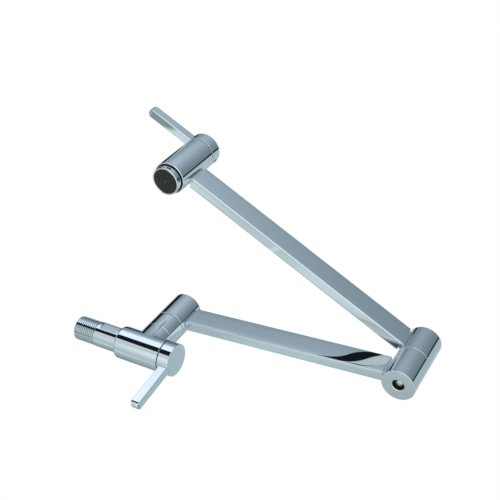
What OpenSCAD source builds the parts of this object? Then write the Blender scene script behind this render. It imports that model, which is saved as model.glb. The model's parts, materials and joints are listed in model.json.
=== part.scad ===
// Wall-mounted folding tap: threaded inlet, valve, two swinging arms and a spout with its own valve.
// Origin: on the inlet axis, in the wall plane where the thread ends. +X out of the wall, +Z up.

/* [Pose] */
// Swing of the inner arm from square to the wall
inner_arm_angle = -4.5; // [-90:0.5:90]
// Fold of the outer arm against the inner arm, 0 is straight and 180 is folded back
elbow_angle = 213.5; // [0:0.5:360]
// Turn of the valve lever from hanging straight down
valve_turn_angle = 6; // [0:1:90]

/* [Inlet] */
// Outside diameter of the parallel pipe thread
thread_d = 20.955; // [19:0.005:21.4]
// Length of the thread that goes into the wall
thread_len = 20.5; // [14:0.5:30]
// Chamfer at the start of the thread
thread_chamfer = 0.8; // [0.3:0.1:1.5]
// Diameter of the plain shank between wall and valve body
shank_d = 21.4; // [21:0.1:24]
// Length of the plain shank
shank_len = 22.4; // [20:0.1:40]
// Size across the two wrench flats
flats_across = 20; // [18:0.1:20.9]
// Distance from the wall to the flats
flats_start = 3.6; // [1:0.1:6]
// Length of the flats
flats_len = 16.8; // [10:0.1:17]
// Bore of the inlet
inlet_bore_d = 12; // [8:0.5:13]
// Diameter of the spigot inside the valve body
spigot_d = 17; // [15:0.5:18]
// Length of the spigot inside the valve body
spigot_len = 10; // [6:0.5:12]

/* [Valve body] */
// Diameter of the valve body
body_d = 28; // [27:0.5:36]
// Distance from the rear of the body to the swivel axis
body_rear = 25.1; // [24:0.1:32]
// Distance from the swivel axis to the handle end of the body
body_front = 18.8; // [18:0.1:28]
// Radius of the rounded rear shoulder
shoulder_r = 3; // [1:0.1:3.2]
// Waterway in the body, the branch and the spout outlet
waterway_d = 10; // [6:0.5:11]
// Height of the branch seam above the inlet axis
branch_h = 18.7; // [17:0.1:30]

/* [Swivels] */
// Diameter of the branch, the hubs and the spout head
swivel_d = 27.6; // [27:0.1:34]
// Height of the union sleeve above the branch seam
sleeve_h = 17.2; // [14:0.1:30]
// Height of the inner arm hub
hub_h = 29.6; // [28:0.1:40]
// Height of the lower elbow hub
elbow_lower_h = 30.7; // [29:0.1:40]
// Height of the upper elbow hub
elbow_upper_h = 28.6; // [26:0.1:40]
// Chamfer on the rims of hubs and sleeves
rim_chamfer = 0.4; // [0.2:0.1:1]
// Open height between the two halves of a swivel
joint_gap = 0.5; // [0.5:0.1:1]
// Thickness of the glide ring in that gap
glide_t = 0.3; // [0.2:0.05:0.4]
// Diameter of the swivel post
post_d = 16; // [14:0.5:17]
// Diameter of the water passage inside the post
post_bore_d = 7; // [5:0.5:8]
// Radial running clearance of the post in its hub
run_clearance = 0.05; // [0.02:0.01:0.1]
// Axial play of the swivel at its retaining washer
axial_play = 0.2; // [0.1:0.05:0.3]
// Diameter of the post's flange
flange_d = 22.6; // [20:0.1:23]
// Thickness of the post's flange
flange_t = 2.6; // [2:0.1:4]
// Diameter of the pilot that carries the retaining washer
pilot_d = 6; // [5:0.5:7]
// Thickness of the hub wall between post and retaining washer
partition_t = 2.5; // [2:0.1:4]
// Diameter of the counterbore for the retaining screw
counterbore_d = 9.8; // [9:0.1:14]
// Depth of that counterbore
counterbore_depth = 5.3; // [5:0.1:8]
// Chamfer at the mouth of the counterbore
counterbore_chamfer = 0.5; // [0.2:0.1:1]
// Height of the first O-ring above the joint face
o_ring_height = 4.4; // [3:0.1:6]
// Land between the second O-ring's groove and the end of the post
o_ring_land = 0.8; // [0.5:0.1:1.5]

/* [Branch union] */
// Diameter of the threaded spigot on the branch
branch_spigot_d = 23.6; // [23:0.1:24]
// Height of that spigot
branch_spigot_h = 7.3; // [5:0.1:8]
// Thickness of the flat seal under the post
post_seal_t = 1; // [0.5:0.1:2]

/* [Retaining screw] */
// Shank diameter of the retaining screw
screw_d = 4; // [3:0.5:4.5]
// Length of the screw in the post
screw_reach = 6; // [4:0.5:7]
// Diameter of the button head
screw_head_d = 7.6; // [6:0.1:8]
// Height of the button head
screw_head_h = 2.3; // [1.8:0.1:2.6]
// Size across the hex socket
screw_hex = 2.5; // [2:0.5:3]
// Depth of the hex socket
screw_hex_depth = 1.5; // [1:0.1:1.6]
// Diameter of the retaining washer
washer_d = 9; // [8:0.1:9.4]
// Thickness of the retaining washer
washer_t = 0.8; // [0.5:0.1:1.2]

/* [Arms] */
// Length of the inner arm between its swivel axes
inner_arm_len = 210; // [120:1:300]
// Length of the outer arm from the elbow axis to the spout axis
outer_arm_len = 242; // [150:1:340]
// Height of the rectangular tube
arm_h = 20.5; // [19:0.5:24]
// Thickness of the rectangular tube
arm_t = 9.4; // [8.5:0.1:14]
// Wall of the rectangular tube
arm_wall = 1.5; // [1:0.1:2]
// Small chamfer along the tube's long edges
arm_chamfer = 0.4; // [0.2:0.1:1]
// End plate of the tube
arm_end_t = 2.5; // [1.5:0.1:5]
// Set-back of the neck from the tube's four sides
neck_step = 1.5; // [0.5:0.1:1.8]
// Visible length of the neck between hub and tube
neck_gap = 1.3; // [0.5:0.1:5]
// Depth of the pocket that takes the neck
pocket_depth = 3.4; // [2:0.1:3.6]
// Diameter of the water port through neck and post
port_d = 5; // [3:0.5:5.5]

/* [Spout head] */
// Length of the spout head below the arm's middle
spout_below = 21.8; // [20:0.1:40]
// Length of the spout head above the arm's middle
spout_above = 24; // [19:0.1:40]
// Chamfer on the lower rim of the spout head
spout_rim = 0.6; // [0.3:0.1:0.7]
// Diameter of the recess round the aerator
rim_recess_d = 25.6; // [25:0.1:25.8]
// Depth of that recess
rim_recess_depth = 3; // [2:0.1:4]

/* [Aerator] */
// Diameter of the aerator thread
aerator_thread_d = 22.2; // [21:0.1:22.6]
// Depth of the aerator chamber above the rim
aerator_depth = 8.5; // [7.5:0.1:9]
// Wall of the threaded part
aerator_wall = 1.1; // [0.8:0.1:1.5]
// Diameter of the visible ring
aerator_d = 24; // [23.6:0.1:24.8]
// Length of the ring below the spout rim
aerator_drop = 6.1; // [3:0.1:9]
// Bevel on both edges of the ring's lip
lip_bevel = 0.4; // [0.2:0.1:0.5]
// Diameter of the black face
aerator_face_d = 21.6; // [20.8:0.1:21.8]
// Depth of the black face inside the lip
face_recess = 0.5; // [0.3:0.1:1.5]
// Thickness of the black face
face_t = 4; // [2:0.1:5]
// Number of ring grooves in the face
groove_count = 5; // [3:1:6]
// Depth of a ring groove
groove_depth = 0.8; // [0.4:0.1:1.5]
// Thickness of the aerator's seal
aerator_seal_t = 1.2; // [0.8:0.1:1.5]
// Width of that seal
aerator_seal_w = 3.6; // [2:0.1:5]
// Number of key notches round the ring
notch_count = 6; // [4:1:8]
// Turn of the first notch from the arm when the aerator is tight
notch_turn = 16; // [0:1:59]
// Width of a key notch
notch_w = 4; // [2:0.1:5]
// Height of a key notch
notch_h = 1.6; // [1:0.1:2]
// Depth of a key notch
notch_depth = 0.6; // [0.3:0.1:0.7]
// Distance from the spout rim to the notch
notch_drop = 2.4; // [0.5:0.1:3]

/* [Cartridges] */
// Diameter of the chamber that holds the cartridge shell
chamber_d = 18.4; // [18:0.1:19]
// Clearance between shell and chamber
shell_clearance = 0.2; // [0.1:0.05:0.3]
// Diameter of the mouth that holds the gland nut
mouth_d = 22.4; // [21:0.1:23]
// Depth of that mouth
mouth_depth = 8; // [7:0.1:8.5]
// Thickness of the shell's flange
shell_flange_t = 2; // [1.5:0.1:2.5]
// Length of the gland nut
nut_len = 5.4; // [3.5:0.1:5.4]
// Diameter of the two key holes in the gland nut
key_hole_d = 1.8; // [1.2:0.1:2.2]
// Depth of the key holes
key_hole_depth = 2.7; // [1.5:0.1:3]
// Rise of the side windows above the cartridge seat
port_rise = 8; // [8:0.1:9]
// Height of the side windows
window_h = 4.6; // [3:0.1:5]
// Width of the side windows
window_w = 7; // [4:0.1:9]
// Diameter of the ceramic discs
disc_d = 14.4; // [13:0.1:15]
// Thickness of each ceramic disc
disc_t = 3.2; // [2.5:0.1:3.2]
// Diameter of the two water holes in the fixed disc
disc_hole_d = 4.1; // [3:0.1:4.4]
// Distance of the water holes from the disc's middle
disc_hole_at = 3.2; // [2.6:0.1:3.6]
// Diameter of the two bites in the moving disc's edge
disc_bite_d = 5.8; // [4:0.1:6]
// Width of the slot that drives the moving disc
disc_slot_w = 2.9; // [2:0.1:3.5]
// Thickness of the rubber seal under the cartridge
cartridge_seal_t = 1.2; // [0.8:0.1:1.2]
// Diameter of the spindle
spindle_d = 8; // [7:0.1:9]
// Depth of the flat that the grub screw presses on
spindle_flat_depth = 0.8; // [0.4:0.1:1.2]
// Thickness of the spindle's drive head
drive_head_t = 2.4; // [1.5:0.1:2.4]

/* [Handles] */
// Length of each handle cap
cap_len = 10.8; // [10.4:0.1:20]
// Gap between the body and the cap
handle_gap = 0.4; // [0.3:0.1:1]
// Closed end of the cap
cap_wall = 2.6; // [2:0.1:3]
// Depth of the recess in the cap's open side
cap_recess = 2.2; // [1:0.1:2.6]
// Width of the lever along the handle axis
lever_w = 7.8; // [6:0.1:8]
// Thickness of the lever across its swing
lever_t = 7.6; // [6:0.1:10]
// Reach of the lever from the handle axis
lever_reach = 57; // [35:1:90]
// Rounding of the lever's tip, seen from the side
tip_r = 3; // [1:0.1:3]
// Depth of the flat seat that the lever stands on
lever_seat_depth = 1.8; // [1.2:0.1:2.5]
// Diameter of the lever's tenon
tenon_d = 5; // [3:0.1:5.4]
// Length of the tenon inside the cap
tenon_len = 5; // [3:0.1:6]
// Diameter of the grub screw
grub_d = 4; // [3:0.5:4]
// Length of the grub screw
grub_len = 6; // [4:0.5:7]
// Size across the grub screw's hex socket
grub_hex = 2; // [1.5:0.5:2]
// Depth of that socket
grub_hex_depth = 3; // [1.5:0.5:3]

/* [Hidden] */
$fn = 64;

// How far a cut runs past the face that it opens
over = 1;
// Clearance of a pressed, screwed or soldered fit inside one body
seat_gap = 0.05;
// Running gap between the two ceramic discs and under the drive head's stop
disc_gap = 0.1;
// Section of the O-rings and the width that their groove has spare
o_ring_d = 1.6;
groove_spare = 0.6;
spindle_ring_d = 1.2;
// Distribution groove round the post, and how far it and the bore run past the port
port_groove = 0.8;
port_spare = 0.4;
// Free depth under the retaining screw
screw_spare = 0.5;
// Closed top of the upper elbow hub
top_wall = 4;
// Free ring between the gland nut and the spindle
nut_clearance = 0.4;
// Free ring round the screw in its washer and round the post in the union sleeve
washer_clearance = 0.1;
sleeve_clearance = 0.1;
// Free length above the spindle inside the cap
spindle_spare = 0.3;
// How far the tenon's root reaches into the lever
tenon_root = 1;
// How far the side outline that rounds the lever's tip stands outside the lever
tip_spare = 0.1;
// Step of the glide ring inside the hub's outer edge and outside the post
glide_step = 0.6;
glide_clearance = 0.3;

body_r = body_d / 2;
swivel_r = swivel_d / 2;
post_r = post_d / 2;
port_r = port_d / 2;

axis_x = shank_len + body_rear;
body_x1 = axis_x + body_front;
valve_seat_x = axis_x - port_rise;

sleeve_z1 = branch_h + sleeve_h;
hub_z0 = sleeve_z1 + joint_gap;
hub_z1 = hub_z0 + hub_h;
inner_arm_z = hub_z0 + hub_h / 2;
elbow_upper_z0 = hub_z1 + joint_gap;
elbow_upper_z1 = elbow_upper_z0 + elbow_upper_h;
outer_arm_z = elbow_upper_z0 + elbow_upper_h / 2;
spout_z0 = outer_arm_z - spout_below;
spout_z1 = outer_arm_z + spout_above;
spout_seat_z = outer_arm_z - port_rise;

neck_h = arm_h - 2 * neck_step;
neck_t = arm_t - 2 * neck_step;
pocket_r = swivel_r - pocket_depth;

insert_r = aerator_thread_d / 2 - aerator_wall;

// Heights inside a swivel, counted from the joint face into the hub
function shoulder_at(hub_len) = hub_len - counterbore_depth - partition_t - axial_play;
function pilot_tip_at(hub_len) = hub_len - counterbore_depth + axial_play;

// One O-ring each side of the water port
function ring_heights(hub_len) = [
  o_ring_height,
  shoulder_at(hub_len) - o_ring_land - (o_ring_d + groove_spare) / 2
];

// Heights inside a cartridge, counted from its seat
fixed_disc_at = cartridge_seal_t;
moving_disc_at = fixed_disc_at + disc_t + disc_gap;
drive_head_at = moving_disc_at + disc_t;
cavity_top = drive_head_at + drive_head_t + disc_gap;
valve_chamber_len = body_front + port_rise;
spout_chamber_len = spout_above + port_rise;

// Middle of the cartridge shell's neck, where the spindle is sealed
function spindle_ring_at(chamber_len) =
  (cavity_top + chamber_len - mouth_depth + shell_flange_t) / 2;

// Distance of the spindle's flat from its axis
grub_flat_r = spindle_d / 2 - spindle_flat_depth;

// Height of the grub screw, in the solid ring between the cap's recess and its closed end
function grub_z(chamber_len) =
  chamber_len + handle_gap + (cap_recess + cap_len - cap_wall) / 2;

// Frames of the moving pieces
module along_x() {
  rotate([0, 90, 0]) children();
}

module at_valve() {
  translate([valve_seat_x, 0, 0]) along_x() rotate(valve_turn_angle) children();
}

module on_inner_arm() {
  translate([axis_x, 0, 0]) rotate(inner_arm_angle) children();
}

module at_elbow() {
  on_inner_arm() translate([inner_arm_len, 0, 0]) children();
}

module on_outer_arm() {
  at_elbow() rotate(elbow_angle) children();
}

module at_spout() {
  on_outer_arm() translate([outer_arm_len, 0, 0]) children();
}

module at_spout_valve() {
  at_spout() translate([0, 0, spout_seat_z]) children();
}

// Round bar from z0 to z1 with a chamfer at each end
module turned_bar(r, z0, z1, c0, c1) {
  rotate_extrude()
    polygon([
      [0, z0], [r - c0, z0], [r, z0 + c0], [r, z1 - c1], [r - c1, z1], [0, z1]
    ]);
}

// Plain round bar or hole from z0 to z1
module round_bar(r, z0, z1) {
  translate([0, 0, z0]) cylinder(r = r, h = z1 - z0);
}

// Flat ring from z0 to z1
module ring(r_out, r_in, z0, z1) {
  difference() {
    round_bar(r_out, z0, z1);
    round_bar(r_in, z0 - over, z1 + over);
  }
}

// O-ring that fills its groove up to just under the bore
module o_ring(outer_r, section_d, z) {
  translate([0, 0, z])
    rotate_extrude()
      translate([outer_r - section_d / 2, 0]) circle(d = section_d);
}

// Groove for an O-ring of the same section
module o_groove(outer_r, section_d, z) {
  half = (section_d + groove_spare) / 2;
  ring(outer_r + over, outer_r - section_d, z - half, z + half);
}

// Box centred on the X axis, from x0 to x1
module bar_x(x0, x1, t, h) {
  translate([x0, -t / 2, -h / 2]) cube([x1 - x0, t, h]);
}

// Inlet and valve body
module inlet_nipple() {
  thread_r = thread_d / 2;
  shank_r = shank_d / 2;
  color("gainsboro")
  along_x() difference() {
    union() {
      turned_bar(thread_r, -thread_len, thread_len / 2, thread_chamfer, thread_chamfer);
      round_bar(shank_r, 0, shank_len);
      round_bar(spigot_d / 2, 0, shank_len + spigot_len);
    }
    round_bar(inlet_bore_d / 2, -thread_len - over, shank_len + spigot_len + over);
    for (side = [-1, 1])
      translate([-shank_r, side > 0 ? flats_across / 2 : -shank_r - over, flats_start])
        cube([2 * shank_r, shank_r + over - flats_across / 2, flats_len]);
  }
}

module valve_body() {
  socket_x1 = shank_len + spigot_len + seat_gap;
  color("gainsboro")
  difference() {
    union() {
      along_x() rotate_extrude() {
        translate([body_r - shoulder_r, shank_len + shoulder_r]) circle(r = shoulder_r);
        translate([0, shank_len]) square([body_r - shoulder_r, shoulder_r]);
        translate([0, shank_len + shoulder_r])
          square([body_r, body_x1 - rim_chamfer - shank_len - shoulder_r]);
        polygon([
          [0, body_x1 - rim_chamfer], [body_r, body_x1 - rim_chamfer],
          [body_r - rim_chamfer, body_x1], [0, body_x1]
        ]);
      }
      translate([axis_x, 0, 0]) {
        turned_bar(swivel_r, 0, branch_h, rim_chamfer, rim_chamfer);
        round_bar(branch_spigot_d / 2, 0, branch_h + branch_spigot_h);
      }
    }
    along_x() {
      round_bar(spigot_d / 2 + seat_gap, shank_len - over, socket_x1);
      round_bar(waterway_d / 2, socket_x1 - over, valve_seat_x + over);
      round_bar(chamber_d / 2, valve_seat_x, body_x1 + over);
      round_bar(mouth_d / 2, body_x1 - mouth_depth, body_x1 + over);
    }
    translate([axis_x, 0, 0])
      round_bar(waterway_d / 2, 0, branch_h + branch_spigot_h + over);
  }
}

// Cartridge pieces, seat at z = 0 and the handle up
module cartridge_seal() {
  color("dimgray")
  ring(chamber_d / 2 - shell_clearance, waterway_d / 2, 0, cartridge_seal_t);
}

module fixed_disc() {
  color("white")
  difference() {
    round_bar(disc_d / 2, fixed_disc_at, fixed_disc_at + disc_t);
    for (side = [-1, 1])
      translate([side * disc_hole_at, 0, 0])
        round_bar(disc_hole_d / 2, fixed_disc_at - over, fixed_disc_at + disc_t + over);
  }
}

module moving_disc() {
  color("ivory")
  difference() {
    round_bar(disc_d / 2, moving_disc_at, moving_disc_at + disc_t);
    for (side = [-1, 1])
      translate([0, side * disc_d / 2, 0])
        round_bar(disc_bite_d / 2, moving_disc_at - over, moving_disc_at + disc_t + over);
    translate([-disc_d, -disc_slot_w / 2, moving_disc_at + disc_t / 2])
      cube([2 * disc_d, disc_slot_w, disc_t]);
  }
}

module cartridge_shell(chamber_len) {
  shell_r = chamber_d / 2 - shell_clearance;
  flange_z = chamber_len - mouth_depth;
  neck_r = spindle_d / 2 + run_clearance;
  color("goldenrod")
  difference() {
    union() {
      round_bar(shell_r, cartridge_seal_t, flange_z + shell_flange_t);
      round_bar(mouth_d / 2 - shell_clearance, flange_z, flange_z + shell_flange_t);
    }
    round_bar(disc_d / 2 + disc_gap, cartridge_seal_t - over, cavity_top);
    round_bar(neck_r, 0, flange_z + shell_flange_t + over);
    translate([-shell_r - over, -window_w / 2, port_rise - window_h / 2])
      cube([2 * (shell_r + over), window_w, window_h]);
  }
}

module gland_nut(chamber_len) {
  nut_z0 = chamber_len - mouth_depth + shell_flange_t;
  nut_z1 = nut_z0 + nut_len;
  middle_r = (mouth_d + spindle_d) / 4;
  color("goldenrod")
  difference() {
    ring(mouth_d / 2 - seat_gap, spindle_d / 2 + nut_clearance, nut_z0, nut_z1);
    for (side = [-1, 1])
      translate([0, side * middle_r, 0])
        round_bar(key_hole_d / 2, nut_z1 - key_hole_depth, nut_z1 + over);
  }
}

module spindle(chamber_len) {
  spindle_r = spindle_d / 2;
  tip_z = chamber_len + handle_gap + cap_len - cap_wall - spindle_spare;
  tang_w = disc_slot_w - 2 * seat_gap;
  flat_z0 = chamber_len + handle_gap + cap_recess;
  color("goldenrod")
  difference() {
    union() {
      round_bar(disc_d / 2, drive_head_at, drive_head_at + drive_head_t);
      round_bar(spindle_r, drive_head_at, tip_z);
      intersection() {
        translate([-disc_d, -tang_w / 2, drive_head_at - disc_t / 2 + seat_gap])
          cube([2 * disc_d, tang_w, disc_t]);
        round_bar(disc_d / 2, moving_disc_at, drive_head_at + drive_head_t);
      }
    }
    o_groove(spindle_r, spindle_ring_d, spindle_ring_at(chamber_len));
    translate([-spindle_r - over, -spindle_r, flat_z0])
      cube([over + spindle_r - grub_flat_r, spindle_d, tip_z]);
  }
}

module spindle_o_ring(chamber_len) {
  color("dimgray")
  o_ring(spindle_d / 2, spindle_ring_d, spindle_ring_at(chamber_len));
}

// Handle pieces, in the cartridge's frame with the lever along +X
module handle_cap(chamber_len, cap_d) {
  z0 = chamber_len + handle_gap;
  z1 = z0 + cap_len;
  seat_x = cap_d / 2 - lever_seat_depth;
  color("gainsboro")
  difference() {
    turned_bar(cap_d / 2, z0, z1, rim_chamfer, rim_chamfer);
    round_bar(mouth_d / 2, z0 - over, z0 + cap_recess);
    round_bar(spindle_d / 2 + seat_gap, z0 - over, z1 - cap_wall);
    translate([seat_x, -lever_t / 2, z1 - lever_w])
      cube([lever_seat_depth + over, lever_t, lever_w + over]);
    translate([0, 0, z1 - lever_w / 2]) along_x()
      round_bar(tenon_d / 2 + seat_gap, seat_x - tenon_len - seat_gap, seat_x + over);
    translate([0, 0, grub_z(chamber_len)]) rotate([0, -90, 0])
      round_bar(grub_d / 2 + seat_gap, grub_flat_r, cap_d / 2 + over);
  }
}

// Outline of the lever seen along the handle axis, with its half-round end
module lever_plan(seat_x) {
  round_x = lever_reach - lever_t / 2;
  translate([seat_x, -lever_t / 2]) square([round_x - seat_x, lever_t]);
  translate([round_x, 0]) circle(d = lever_t);
}

// Outline seen from the side, just outside the lever except at the rounded corners of the tip
module lever_side(seat_x) {
  half_w = lever_w / 2 + tip_spare;
  tip_x = lever_reach + tip_spare;
  translate([seat_x - over, -half_w]) square([tip_x - tip_r - seat_x + over, 2 * half_w]);
  translate([seat_x, tip_r - half_w]) square([tip_x - seat_x, 2 * (half_w - tip_r)]);
  for (side = [-1, 1])
    translate([tip_x - tip_r, side * (half_w - tip_r)]) circle(r = tip_r);
}

module handle_lever(chamber_len, cap_d) {
  seat_x = cap_d / 2 - lever_seat_depth;
  color("whitesmoke")
  translate([0, 0, chamber_len + handle_gap + cap_len - lever_w / 2]) {
    intersection() {
      linear_extrude(lever_w, center = true) lever_plan(seat_x);
      rotate([90, 0, 0]) linear_extrude(lever_t + 2 * over, center = true) lever_side(seat_x);
    }
    along_x() round_bar(tenon_d / 2, seat_x - tenon_len, seat_x + tenon_root);
  }
}

module handle_grub_screw(chamber_len) {
  tip_x = grub_flat_r + seat_gap;
  color("silver")
  translate([0, 0, grub_z(chamber_len)]) rotate([0, -90, 0]) difference() {
    round_bar(grub_d / 2, tip_x, tip_x + grub_len);
    translate([0, 0, tip_x + grub_len - grub_hex_depth])
      cylinder(d = grub_hex / cos(30), h = grub_hex_depth + over, $fn = 6);
  }
}

// Swivel pieces, joint face at z = 0 and the retaining screw up
module neck_pocket(inner_r, port_h, side_angle) {
  fit_t = neck_t + 2 * seat_gap;
  fit_h = neck_h + 2 * seat_gap;
  rotate(side_angle) translate([0, 0, port_h]) {
    bar_x(pocket_r, swivel_r + over, fit_t, fit_h);
    along_x() round_bar(port_r, inner_r, pocket_r + over);
  }
}

module running_hub(hub_len, port_h, side_angle) {
  color("silver")
  difference() {
    turned_bar(swivel_r, 0, hub_len, rim_chamfer, rim_chamfer);
    round_bar(post_r + run_clearance, -over, shoulder_at(hub_len) + axial_play);
    round_bar(pilot_d / 2 + run_clearance, 0, hub_len);
    counterbore(hub_len);
    neck_pocket(post_r, port_h, side_angle);
  }
}

// Counterbore with a chamfered mouth, open towards +Z
module counterbore(hub_len) {
  r = counterbore_d / 2;
  mouth_z = hub_len - counterbore_chamfer;
  rotate_extrude()
    polygon([
      [0, hub_len - counterbore_depth], [r, hub_len - counterbore_depth], [r, mouth_z],
      [r + counterbore_chamfer + over, hub_len + over], [0, hub_len + over]
    ]);
}

// The post is fixed at its flange end and runs in the hub above the joint face
module post(hub_len, port_h, flange_z0, foot_z, side_ports) {
  shoulder_z = shoulder_at(hub_len);
  tip_z = pilot_tip_at(hub_len);
  color("goldenrod")
  difference() {
    union() {
      round_bar(post_r, foot_z, shoulder_z);
      round_bar(pilot_d / 2, foot_z, tip_z);
      round_bar(flange_d / 2, flange_z0, flange_z0 + flange_t);
    }
    round_bar(post_bore_d / 2, foot_z - over, port_h + port_r + port_spare);
    for (z = side_ports)
      translate([0, 0, z]) along_x() round_bar(port_r, -post_r - over, post_r + over);
    ring(post_r + over, post_r - port_groove, port_h - port_r - port_spare,
      port_h + port_r + port_spare);
    for (z = ring_heights(hub_len))
      o_groove(post_r, o_ring_d, z);
    round_bar(screw_d / 2 + seat_gap, tip_z - screw_reach - screw_spare, tip_z + over);
  }
}

module post_o_rings(hub_len) {
  color("dimgray")
  for (z = ring_heights(hub_len))
    o_ring(post_r, o_ring_d, z);
}

module glide_ring() {
  color("white")
  ring(swivel_r - glide_step, post_r + glide_clearance, 0, glide_t);
}

module retaining_washer(hub_len) {
  z0 = pilot_tip_at(hub_len);
  color("silver")
  ring(washer_d / 2, screw_d / 2 + washer_clearance, z0, z0 + washer_t);
}

module retaining_screw(hub_len) {
  head_z = pilot_tip_at(hub_len) + washer_t;
  head_r = screw_head_d / 2;
  crown = (head_r * head_r + screw_head_h * screw_head_h) / (2 * screw_head_h);
  color("silver")
  difference() {
    union() {
      round_bar(screw_d / 2, head_z - washer_t - screw_reach, head_z + screw_head_h / 2);
      intersection() {
        translate([0, 0, head_z + screw_head_h - crown]) sphere(r = crown);
        round_bar(head_r, head_z, head_z + screw_head_h);
      }
    }
    translate([0, 0, head_z + screw_head_h - screw_hex_depth])
      cylinder(d = screw_hex / cos(30), h = screw_hex_depth + over, $fn = 6);
  }
}

// Wall swivel
module at_wall_swivel() {
  translate([axis_x, 0, hub_z0]) children();
}

module post_seal() {
  z0 = branch_h + branch_spigot_h;
  color("dimgray")
  translate([axis_x, 0, 0]) ring(flange_d / 2, waterway_d / 2, z0, z0 + post_seal_t);
}

module swivel_post() {
  foot_z = branch_h + branch_spigot_h + post_seal_t - hub_z0;
  at_wall_swivel() post(hub_h, hub_h / 2, foot_z, foot_z, [hub_h / 2]);
}

module union_sleeve() {
  flange_z1 = branch_h + branch_spigot_h + post_seal_t + flange_t;
  color("silver")
  translate([axis_x, 0, 0]) difference() {
    turned_bar(swivel_r, branch_h, sleeve_z1, rim_chamfer, rim_chamfer);
    round_bar(branch_spigot_d / 2 + seat_gap, branch_h - over, flange_z1);
    round_bar(post_r + sleeve_clearance, branch_h, sleeve_z1 + over);
  }
}

module swivel_glide_ring() {
  translate([axis_x, 0, sleeve_z1]) glide_ring();
}

// Elbow, whose running side is the lower hub, turned so that its screw points down
module at_elbow_down() {
  at_elbow() translate([0, 0, hub_z1]) rotate([180, 0, 0]) children();
}

module elbow_upper_hub() {
  blind_z = elbow_upper_z1 - top_wall;
  color("silver")
  on_outer_arm() difference() {
    turned_bar(swivel_r, elbow_upper_z0, elbow_upper_z1, rim_chamfer, rim_chamfer);
    round_bar(flange_d / 2 + seat_gap, elbow_upper_z0 - over, elbow_upper_z0 + flange_t);
    round_bar(post_r + seat_gap, elbow_upper_z0 - over, blind_z);
    neck_pocket(post_r, outer_arm_z, 0);
  }
}

module elbow_post() {
  fixed_len = joint_gap + elbow_upper_h - top_wall - axial_play;
  at_elbow_down() rotate(-elbow_angle)
    post(elbow_lower_h, hub_h / 2, -joint_gap - flange_t, -fixed_len,
      [hub_h / 2, hub_z1 - outer_arm_z]);
}

// Arm tube along X, from one hub to the next
module arm_tube(len) {
  root_x = pocket_r + seat_gap;
  tube_x0 = swivel_r + neck_gap;
  half_t = arm_t / 2;
  half_h = arm_h / 2;
  c = arm_chamfer;
  color("lightsteelblue")
  difference() {
    union() {
      translate([tube_x0, 0, 0]) rotate([90, 0, 90])
        linear_extrude(len - 2 * tube_x0)
          polygon([
            [-half_t + c, -half_h], [half_t - c, -half_h], [half_t, -half_h + c],
            [half_t, half_h - c], [half_t - c, half_h], [-half_t + c, half_h],
            [-half_t, half_h - c], [-half_t, -half_h + c]
          ]);
      bar_x(root_x, len - root_x, neck_t, neck_h);
    }
    bar_x(tube_x0 + arm_end_t, len - tube_x0 - arm_end_t, arm_t - 2 * arm_wall, arm_h - 2 * arm_wall);
    along_x() round_bar(port_r, 0, len);
  }
}

// Spout head and aerator, heights counted from the rim of the spout head
module spout_head() {
  color("silver")
  at_spout() difference() {
    turned_bar(swivel_r, spout_z0, spout_z1, spout_rim, rim_chamfer);
    round_bar(rim_recess_d / 2, spout_z0 - over, spout_z0 + rim_recess_depth);
    round_bar(aerator_thread_d / 2 + seat_gap, spout_z0 - over, spout_z0 + aerator_depth);
    round_bar(waterway_d / 2, spout_z0, spout_seat_z + over);
    round_bar(chamber_d / 2, spout_seat_z, spout_z1 + over);
    round_bar(mouth_d / 2, spout_z1 - mouth_depth, spout_z1 + over);
    neck_pocket(chamber_d / 2 - over, outer_arm_z, 180);
  }
}

module at_spout_rim() {
  at_spout() translate([0, 0, spout_z0]) children();
}

module aerator_housing() {
  thread_z1 = aerator_depth - aerator_seal_t;
  face_z = face_recess - aerator_drop;
  face_r = aerator_face_d / 2;
  color("gainsboro")
  at_spout_rim() difference() {
    union() {
      turned_bar(aerator_d / 2, -aerator_drop, rim_recess_depth, lip_bevel, lip_bevel);
      round_bar(aerator_thread_d / 2, 0, thread_z1);
    }
    round_bar(insert_r + seat_gap, -aerator_drop - over, thread_z1 + over);
    round_bar(face_r, -aerator_drop - over, face_z + face_t);
    translate([0, 0, -aerator_drop - over])
      cylinder(r1 = face_r + lip_bevel + over, r2 = face_r - over, h = lip_bevel + 2 * over);
    for (i = [0 : notch_count - 1])
      rotate(notch_turn + i * 360 / notch_count)
        translate([aerator_d / 2 - notch_depth, -notch_w / 2, -notch_drop - notch_h])
          cube([notch_depth + over, notch_w, notch_h]);
  }
}

module aerator_insert() {
  face_z = face_recess - aerator_drop;
  groove_pitch = aerator_face_d / 2 / (groove_count + 1);
  color("black")
  at_spout_rim() difference() {
    union() {
      round_bar(aerator_face_d / 2 - seat_gap, face_z, face_z + face_t);
      round_bar(insert_r, face_z, aerator_depth - aerator_seal_t);
    }
    for (i = [1 : groove_count])
      ring((i + 0.5) * groove_pitch, i * groove_pitch, face_z - over, face_z + groove_depth);
  }
}

module aerator_seal() {
  color("dimgray")
  at_spout_rim() ring(aerator_thread_d / 2, aerator_thread_d / 2 - aerator_seal_w,
    aerator_depth - aerator_seal_t, aerator_depth);
}

// Pieces of the valve and its handle
module valve_cartridge_seal() {
  at_valve() cartridge_seal();
}

module valve_fixed_disc() {
  at_valve() fixed_disc();
}

module valve_cartridge_shell() {
  at_valve() cartridge_shell(valve_chamber_len);
}

module valve_gland_nut() {
  at_valve() gland_nut(valve_chamber_len);
}

module valve_moving_disc() {
  at_valve() moving_disc();
}

module valve_spindle() {
  at_valve() spindle(valve_chamber_len);
}

module valve_spindle_o_ring() {
  at_valve() spindle_o_ring(valve_chamber_len);
}

module valve_cap() {
  at_valve() handle_cap(valve_chamber_len, body_d);
}

module valve_lever() {
  at_valve() handle_lever(valve_chamber_len, body_d);
}

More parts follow.
